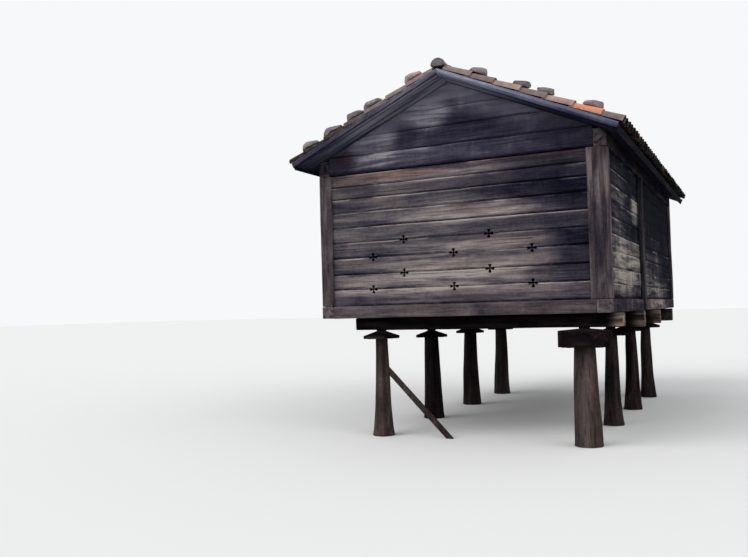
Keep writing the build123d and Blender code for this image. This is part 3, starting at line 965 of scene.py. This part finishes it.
def shoulder_level(row, right):
    """Top of a leg's trunk, where the guard rests."""
    return beam_underside(row) - 0.02 - guard_thickness(row, right)


def cross_beam(row, name, y):
    """Beam on a row of legs, out past the side walls; the front one is short on the left."""
    past, short, half = 0.1, 0.51, 0.098
    left = -HALF_WIDTH + (short if row == 0 else -past)
    beam = hewn((left, y - half, beam_underside(row) + AIR),
                (HALF_WIDTH + past, y + half, FLOOR - AIR), ACROSS, 0.012,
                0.75 if row == 0 else chance.uniform(0.2, 0.6),
                cuts=26, across=3, worn=0.016)
    hand_over(beam, f"beam_{name}", "timber", "beam_front" if row == 0 else "beam")


def leg_trunk(row, right, y):
    """Tapered trunk, hewn to eight sides, flaring at the foot, with a round neck."""
    x = LEG_X[right]
    extra = 0.095 if has_drum(row, right) else 0.05 if row > 0 and not right else 0.0
    top = beam_underside(row)
    shoulder = shoulder_level(row, right)
    sides, radius, rings = 8, 0.5, 17
    trunk = round_piece(sides, radius, shoulder, (x, y, shoulder / 2), (0, 0, math.pi / sides))
    open_mesh(trunk)
    pick_edges(trunk, lambda a, b: along_axis(a, b, UP))
    bpy.ops.mesh.bevel(offset=0.07, segments=2, profile=0.7, affect="EDGES")
    pick_edges(trunk, lambda a, b: along_axis(a, b, UP))
    bpy.ops.mesh.subdivide(number_cuts=rings)
    bpy.ops.mesh.select_mode(type="VERT")
    foot, waist, head = (0.0, 0.30 + extra / 2), (0.42, 0.225 + extra), (shoulder, 0.165 + extra)
    for ring in range(rings + 2):
        z = shoulder * ring / (rings + 1)
        lower, upper = (foot, waist) if z < waist[0] else (waist, head)
        share = (z - lower[0]) / (upper[0] - lower[0])
        eased = share ** 0.75 if z < waist[0] else share
        width = lower[1] + (upper[1] - lower[1]) * eased
        pick_points(trunk, lambda point: abs(point.z - z) < 0.01)
        scale = width / (2 * radius * math.cos(math.pi / sides))
        sway = (0.006 * math.sin(3 * z + 2 * row + x), 0.006 * math.cos(2.4 * z + row), 0)
        bpy.ops.transform.resize(value=(scale, scale, 1), center_override=(x, y, z))
        bpy.ops.transform.translate(value=sway)
    close_mesh()
    # The front row gets a paler tone: painted light, as the rows behind stand in the building's
    # shade
    tint(trunk, chance.uniform(0.3, 0.6) if row else 0.9)
    weather(trunk, UP, 0.020)
    cut_at_ground(trunk, 0.0005)
    sunk = 0.02
    neck = round_piece(20, 0.071, top - shoulder + sunk, (x, y, (top + shoulder - sunk) / 2))
    return [trunk, tint(neck, 0.3)]


def guard_disc(row, right, y):
    """Round wooden guard: thin worn rim, thick at the neck, with a hole right through."""
    x = LEG_X[right]
    radius, rim = (0.342, 0.205) if has_drum(row, right) else (0.262, 0.038)
    hole, ledge = 0.078, 0.012
    shoulder = shoulder_level(row, right)
    disc = round_piece(44, radius, rim, (x, y, shoulder + rim / 2 + 0.001))

    def out(point):
        """Distance from the middle of the guard."""
        return math.hypot(point.x - x, point.y - y)

    def on_hole(a, b):
        return max(out(a), out(b)) < hole + 0.004 and abs(a.z - b.z) < 1e-4

    open_mesh(disc, "FACE")
    pick_faces(disc, lambda normal: abs(normal.z) > 0.9)
    outer_ring = (radius - hole) * 0.45
    for width in (ledge, outer_ring, radius - hole - ledge - outer_ring):
        bpy.ops.mesh.inset(thickness=width)
    bpy.ops.mesh.delete(type="FACE")
    bpy.ops.mesh.select_mode(type="EDGE")
    pick_edges(disc, on_hole)
    bpy.ops.mesh.bridge_edge_loops()
    bpy.ops.mesh.select_mode(type="VERT")
    slope_rise = guard_thickness(row, right) - rim - AIR
    for low, high, rise in ((0.0, hole + 0.004, slope_rise),
                            (hole + 0.02, radius - 0.03, slope_rise * 0.5),
                            (radius - 0.018, radius - 0.006, 0.004)):
        pick_points(disc, lambda point: low <= out(point) <= high
                    and point.z > shoulder + rim - 0.001)
        bpy.ops.transform.translate(value=(0, 0, rise))
    pick_points(disc, lambda point: out(point) > radius - 0.006)
    bpy.ops.transform.vertex_random(offset=0.006, uniform=0.0, normal=0.0,
                                    seed=row * 2 + int(right) + 3)
    close_mesh()
    return weather(tint(disc, chance.uniform(0.2, 0.7)), ACROSS, 0.008)


def legs_and_guards():
    """Row by row, the two legs, their guards and the beam on them."""
    for row, (name, y) in enumerate(ROWS):
        trunks = [part for right in (False, True) for part in leg_trunk(row, right, y)]
        hand_over(gather(trunks), f"legs_{name}", "trunks", "leg", 40)
        discs = [guard_disc(row, right, y) for right in (False, True)]
        hand_over(gather(discs), f"guards_{name}", "discs", "guard", 40)
        cross_beam(row, name, y)


def prop():
    """Sloping timber from the ground to the side of the front left leg."""
    half = (math.hypot(PROP_RISE, PROP_SPREAD) + 0.3) / 2
    bar = hewn((-half, -0.028, -0.036), (half, 0.028, 0.036), ACROSS, 0.008, 0.8,
               cuts=14, across=2)
    lean = Matrix.Rotation(math.atan2(PROP_RISE, PROP_SPREAD), 4, "Y")
    middle = (LEG_X[0] + PROP_SPREAD / 2, ROWS[0][1], PROP_RISE / 2)
    bar.data.transform(Matrix.Translation(middle) @ lean)
    cut_at_ground(bar, 0.001)
    cut_away(bar, (LEG_X[0] + 0.095, 0, 0), (-1, 0, 0))
    hand_over(bar, "leg_prop", "timber", "leg")


# Roof
def slope_place(right):
    """Matrix from slope measures (down, along, out) to the building."""
    turn = Matrix.Identity(4) if right else Matrix.Rotation(math.pi, 4, "Z")
    return Matrix.Translation((0, 0, RIDGE_LEVEL)) @ turn @ Matrix.Rotation(PITCH, 4, "Y")


def trim_to_roof(piece, room=0.001):
    """Saw the top of a timber to both slopes."""
    for side in (-1, 1):
        cut_away(piece, (0, 0, RIDGE_LEVEL - room), (side * math.sin(PITCH), 0, math.cos(PITCH)))


def wall_plate(right):
    """Timber on a side wall's head, its top sawn to the slope."""
    x0, x1 = between(right, HALF_WIDTH, 0.003, PLATE)
    reach = HALF_LENGTH - 0.008
    plate = hewn((x0, -reach, WALL_HEAD + 0.001), (x1, reach, EAVE_LEVEL + 0.037), ALONG,
                 0.012, 0.6, cuts=50, across=3, worn=0.012)
    trim_to_roof(plate)
    hand_over(plate, f"wall_plate_{side_name(right)}", "timber", "plate")


def ridge_beam():
    """Timber under the ridge, from gable to gable."""
    reach = HALF_LENGTH - 0.062
    beam = hewn((-0.063, -reach, RIDGE_LEVEL - 0.188), (0.063, reach, RIDGE_LEVEL), ALONG,
                0.010, 0.4, cuts=50, across=2, worn=0.010)
    trim_to_roof(beam)
    hand_over(beam, "ridge_beam", "timber", "plate")


def gable(back):
    """Wide boards that close a gable, cut to the slopes."""
    y0, y1 = between(back, HALF_LENGTH, 0.022, 0.058)
    edge = HALF_WIDTH - PLATE - AIR
    z = WALL_HEAD + 0.008
    boards = []
    while RIDGE_LEVEL - z > GABLE_BOARD / 2:
        height = GABLE_BOARD if RIDGE_LEVEL - z > GABLE_BOARD * 1.5 else RIDGE_LEVEL - z
        lean = chance.uniform(-0.005, 0.004)
        board = timber((-edge, y0 + lean, z + 0.001), (edge, y1 + lean, z + height - AIR),
                       ACROSS, cuts=30, across=4, worn=chance.uniform(0.005, 0.009))
        boards.append(tint(mark_edges(board, z, z + height)))
        z += height
    whole = weather_wall(gather(boards), ACROSS, "Y", 0.014)
    trim_to_roof(whole, 0.003)
    hand_over(whole, f"gable_{end_name(back)}", "boards", "gable")


def roof_boards(right):
    """Boards down one slope from the ridge to the eave."""
    count = 34
    width = 2 * VERGE / count
    boards = []
    for number in range(count):
        y = -VERGE + number * width
        sag = chance.uniform(0.0, 0.003)
        board = timber((AIR, y + AIR, 0.001 + sag),
                       (DECK_END, y + width - AIR, 0.026 + sag), ACROSS, cuts=6, worn=0.003)
        boards.append(tint(board))
    whole = gather(boards)
    whole.data.transform(slope_place(right))
    hand_over(whole, f"roof_boards_{side_name(right)}", "laid", "deck")


def eave_board(right):
    """Thin board along the lower end of the roof boards."""
    board = hewn((DECK_END + 0.001, -VERGE + AIR, -0.031),
                 (DECK_END + 0.024, VERGE - AIR, 0.029), ALONG, 0.005, 0.5,
                 cuts=50, across=2, worn=0.004)
    board.data.transform(slope_place(right))
    hand_over(board, f"eave_board_{side_name(right)}", "timber", "eave")


def bargeboard(right, back):
    """Board on the verge, mitred to its neighbour at the ridge."""
    # The left slope is the right one turned round, so its front lies the other way
    y0, y1 = between(back == right, VERGE, -0.001, -0.0245)
    foot, top = 0.003, 0.077
    board = timber((-0.08, y0, foot), (DECK_END + 0.022, y1, top), ACROSS,
                   cuts=24, across=2, worn=0.004)
    mark_edges(tint(board), foot, top)
    weather(board, ACROSS, 0.006)
    board.data.transform(slope_place(right))
    cut_away(board, (sign(right) * 0.0005, 0, 0), (-sign(right), 0, 0))
    finish = "barge_back" if back else f"barge_{side_name(right)}"
    node = f"bargeboard_{end_name(back)}_{side_name(right)}"
    hand_over(board, node, "timber", finish)


def barrel_tile(length, wide, narrow, wall=0.013):
    """Half-round clay tile, wider at its lower end, with its thickness."""
    tile = round_piece(16, 1, length, turn=(0, math.pi / 2, 0), ends="NOTHING")
    open_mesh(tile, "FACE")
    bpy.ops.mesh.select_all(action="SELECT")
    bpy.ops.mesh.bisect(plane_co=(0, 0, 0.0), plane_no=(0, 0, -1), clear_outer=True)
    bpy.ops.mesh.select_mode(type="VERT")
    for end, radius in ((-1, narrow), (1, wide)):
        pick_points(tile, lambda point: point.x * end > 0)
        bpy.ops.transform.resize(value=(1, radius, radius), center_override=(0, 0, 0))
    close_mesh()
    shape_modifier(tile, "SOLIDIFY", thickness=wall, offset=-1.0)
    open_mesh(tile, "FACE")
    bpy.ops.mesh.select_all(action="SELECT")
    bpy.ops.mesh.normals_make_consistent(inside=False)
    close_mesh()
    return tile


# Tones of the tiles along the front verge, from the eave up
VERGE_TONES = {
    True: (0.58, 0.97, 0.80, 0.58, 0.77, 0.58, 0.66),
    False: (0.10, 0.16, 0.22, 0.40, 0.54, 0.64, 0.66),
}


def tile_field(right):
    """Pans and covers of one slope, course by course from the eave up."""
    length, course, lowest_course, courses = 0.42, 0.3684, 0.27, 7
    cover_seat, pan_seat = 0.096, 0.150
    first = -VERGE + COVER / 2
    pitch = -2 * first / (COVERS - 1)
    cover = barrel_tile(length, 0.086, 0.072)
    pan = barrel_tile(length, 0.072, 0.088)
    # A clay bed under the tiles, toned dark; it also fills the shaded gap under them, partly
    # painted shade
    bed = timber((0.02, -VERGE + 0.004, DECK + 0.001), (TILE_END - 0.07, VERGE - 0.004, 0.066),
                 ALONG, cuts=40, across=8, worn=0.004)
    tint(bed, 0.2)
    place = slope_place(right)
    bed.data.transform(place)
    tilt = Matrix.Rotation(-math.atan2(0.014, course), 4, "Y")
    flip = Matrix.Rotation(math.pi, 4, "X")
    laid = [bed]
    for row in range(courses):
        lower = TILE_END - 0.018 - (lowest_course + (row - 1) * course if row else 0)
        for column in range(COVERS):
            y = first + column * pitch
            at_verge = column in (0, COVERS - 1)
            down = lower - length / 2 + chance.uniform(-0.012, 0.002)
            yaw = chance.uniform(-0.02, 0.02)
            out = cover_seat + chance.uniform(-0.003, 0.003) - (0.002 if at_verge else 0)
            if row == courses - 1:
                down = max(down, 0.035 + length / 2)
            turn = Matrix.Rotation(yaw, 4, "Z") @ tilt
            piece = copy_of(cover, place @ Matrix.Translation((down, y, out)) @ turn)
            at_front = at_verge and (y < 0 if right else y > 0)
            laid.append(tint(piece, VERGE_TONES[right][row] if at_front else chance.random() * 0.9))
            if column < COVERS - 1:
                turn = Matrix.Rotation(chance.uniform(-0.012, 0.012), 4, "Z") @ tilt @ flip
                shift = Matrix.Translation((down - 0.02, y + pitch / 2, pan_seat))
                laid.append(tint(copy_of(pan, place @ shift @ turn)))
    drop(cover)
    drop(pan)
    hand_over(gather(laid), f"tiles_{side_name(right)}", "laid", "tile", 50)


def ridge_cap():
    """Half-round ridge tiles lapped one over the next, the end ones stopped with stones."""
    length, course, past = 0.42, 0.37, 0.008
    tile = barrel_tile(length, 0.098, 0.088, 0.015)
    centre = RIDGE_LEVEL + TILE_TOP / math.cos(PITCH) - 0.066
    count = int((2 * VERGE + 0.02) / course) + 1
    pitch = (2 * VERGE + 2 * past - length) / (count - 1)
    turn = (Matrix.Rotation(-math.pi / 2, 4, "Z")
            @ Matrix.Rotation(-math.atan2(0.012, course), 4, "Y"))
    laid = []
    for number in range(count):
        y = -VERGE - past + length / 2 + number * pitch
        wobble = Matrix.Rotation(chance.uniform(-0.03, 0.03), 4, "Z")
        piece = copy_of(tile, Matrix.Translation((0, y, centre)) @ wobble @ turn)
        laid.append(tint(piece, 0.5 if number == 0 else None))
    drop(tile)
    for end in (-1, 1):
        plug = field_stone(1.0, 1.3 + end)
        plug.data.transform(Matrix.Diagonal((0.66, 0.34, 1.15, 1)))
        plug.data.transform(Matrix.Translation((0, end * (VERGE - 0.023), centre - 0.006)))
        laid.append(tint(plug, 0.5))
    hand_over(gather(laid), "ridge_tiles", "laid", "ridge", 50)


def field_stone(size, turn, downhill=0, broken_edges=0):
    """Flat uneven stone, thicker downhill so that its top lies level; turn picks its shape."""
    half_length, half_width, half_height = 0.148, 0.108, 0.075
    clear_selection()
    bpy.ops.mesh.primitive_ico_sphere_add(subdivisions=3, radius=1, location=(0, 0, 0))
    stone = bpy.context.object
    stone.scale = (half_length * size, half_width * size, half_height * size)
    settle(stone)
    stone.data.transform(Matrix.Translation((turn * 3, 0, 0)))
    shape_modifier(stone, "DISPLACE", texture=stone_pattern, texture_coords="LOCAL",
                   strength=0.05, mid_level=0.5)
    stone.data.transform(Matrix.Translation((-turn * 3, 0, 0.035 * size)))
    cut_at_ground(stone, 0.001)
    lean = 0.21 * downhill + 0.05 * math.sin(turn)
    cut_away(stone, (0, 0, 0.068 * size), (-lean, 0.05 * math.cos(turn), 1))
    for number in range(broken_edges):
        around = (1.3 * turn + number * 2 * math.pi / broken_edges
                  + 0.3 * math.sin(5.1 * turn + 2.3 * number))
        across, along = math.cos(around), math.sin(around)
        reach = 0.87 * size * math.hypot(half_length * across, half_width * along)
        slant = 0.15 + 0.35 * abs(math.sin(3.7 * turn + number))
        cut_away(stone, (reach * across, reach * along, 0.03), (across, along, slant))
    return stone


def roof_stones():
    """Stones on both slopes, in five lines from front to back, each on the crown of a cover."""
    lines, crown = 5, 0.181
    first = -VERGE + 0.12
    line_pitch = -2 * first / (lines - 1)
    cover_pitch = (2 * VERGE - COVER) / (COVERS - 1)
    downs_left, downs_right = (0.34, 1.04, 1.35, 1.76, 2.18), (0.50, 1.12, 1.46, 2.10)
    stones = []
    for line in range(lines):
        cover = round((first + line * line_pitch + VERGE - COVER / 2) / cover_pitch)
        inward = 1 if line <= lines // 2 else -1
        for right, downs in ((False, downs_left), (True, downs_right)):
            for number, down in enumerate(downs):
                turn = 1.7 * number + 2.3 * line + (0.9 if right else 0)
                size = 1 + 0.14 * math.sin(4.1 * turn)
                side = sign(right)
                stone = field_stone(size, turn, side, 5)
                down += abs(0.06 * math.sin(2.6 * turn)) if line else 0
                x = down * math.cos(PITCH) + crown * math.sin(PITCH)
                y = (-VERGE + COVER / 2 + cover * cover_pitch
                     + inward * (0.04 + 0.025 * abs(math.sin(3.3 * turn))))
                z = RIDGE_LEVEL - down * math.sin(PITCH) + crown * math.cos(PITCH)
                lean = Matrix.Rotation(side * PITCH, 4, "Y")
                stone.data.transform(Matrix.Translation((side * x, y, z)) @ lean)
                shard = line == 0 and number == 0 and not right
                stones.append(tint(stone, SHARD_TONE if shard else chance.random() * 0.9))
    hand_over(gather(stones), "roof_stones", "laid", "stone", 40)


def build():
    end_sill(False)
    end_sill(True)
    side_sill(False)
    side_sill(True)
    floor()
    for back in (False, True):
        end_wall(back)
        gable(back)
        for right in (False, True):
            corner_post(right, back)
            bargeboard(right, back)
    for right in (False, True):
        side_wall(right)
        mid_post(right)
        roof_boards(right)
        tile_field(right)
        eave_board(right)
    legs_and_guards()
    prop()
    wall_plate(False)
    wall_plate(True)
    ridge_beam()
    ridge_cap()
    roof_stones()
    for guide in guides.values():
        bpy.data.objects.remove(guide)


# Studio
def seen_plainly(tree):
    """1 where the camera sees a thing, by itself or in or through something shiny or clear."""
    path = tree.nodes.new("ShaderNodeLightPath").outputs
    seen = sum_up(tree, "MAXIMUM", path["Is Camera Ray"], path["Is Glossy Ray"])
    return sum_up(tree, "MAXIMUM", seen, path["Is Transmission Ray"])


def pale_ground():
    """Pale floor: pale to the camera, duller to the light that it throws back."""
    clear_selection()
    bpy.ops.mesh.primitive_plane_add(size=400, location=(0, 0, -0.002))
    ground = bpy.context.object
    settle(ground)
    ground.name = "studio_floor"
    finish, tree = new_finish("studio floor")
    colour = blend_colours(tree, seen_plainly(tree), (0.22, 0.21, 0.20), (0.80, 0.79, 0.77))
    shader = add_node(tree, "ShaderNodeBsdfDiffuse", {"Color": colour})
    add_node(tree, "ShaderNodeOutputMaterial", {0: shader.outputs[0]})
    ground.data.materials.append(finish)


def soft_light():
    """Overcast light from all round, a little stronger from the front left."""
    world = bpy.data.worlds.new("studio")
    bpy.context.scene.world = world
    world.use_nodes = True
    tree = world.node_tree
    tree.nodes.clear()
    lit, shown = (
        add_node(tree, "ShaderNodeBackground", {"Color": (*colour, 1), "Strength": strength})
        for colour, strength in (((0.93, 0.96, 1.0), 0.75), ((0.93, 0.94, 0.95), 1.0)))
    mixed = add_node(tree, "ShaderNodeMixShader", {
        0: seen_plainly(tree), 1: lit.outputs[0], 2: shown.outputs[0]})
    add_node(tree, "ShaderNodeOutputWorld", {0: mixed.outputs[0]})
    for name, strength, angle, aim in (("front light", 1.35, 50, (-0.45, -0.62, 0.65)),
                                       ("right light", 0.75, 60, (0.85, -0.25, 0.47))):
        data = bpy.data.lights.new(name, "SUN")
        data.energy = strength
        data.angle = math.radians(angle)
        lamp = bpy.data.objects.new(name, data)
        bpy.context.scene.collection.objects.link(lamp)
        lamp.rotation_euler = Vector(aim).to_track_quat("Z", "Y").to_euler()


def camera():
    """Camera at the photograph's place and angle."""
    yaw, pitch, roll = math.radians(26.63), math.radians(2.36), math.radians(-1.53)
    ahead = Vector((-math.sin(yaw) * math.cos(pitch), math.cos(yaw) * math.cos(pitch),
                    math.sin(pitch)))
    level = Vector((math.cos(yaw), math.sin(yaw), 0))
    above = level.cross(ahead)
    right = level * math.cos(roll) + above * math.sin(roll)
    up = -level * math.sin(roll) + above * math.cos(roll)
    data = bpy.data.cameras.new("camera")
    data.sensor_width = 36
    data.lens = 37.42
    data.clip_end = 500
    eye = bpy.data.objects.new("camera", data)
    bpy.context.scene.collection.objects.link(eye)
    turn = Matrix((right, up, -ahead)).transposed().to_4x4()
    eye.matrix_world = Matrix.Translation((3.798, -13.667, 1.808)) @ turn
    bpy.context.scene.camera = eye


build()
pale_ground()
soft_light()
camera()
bpy.context.scene.view_settings.view_transform = "Standard"
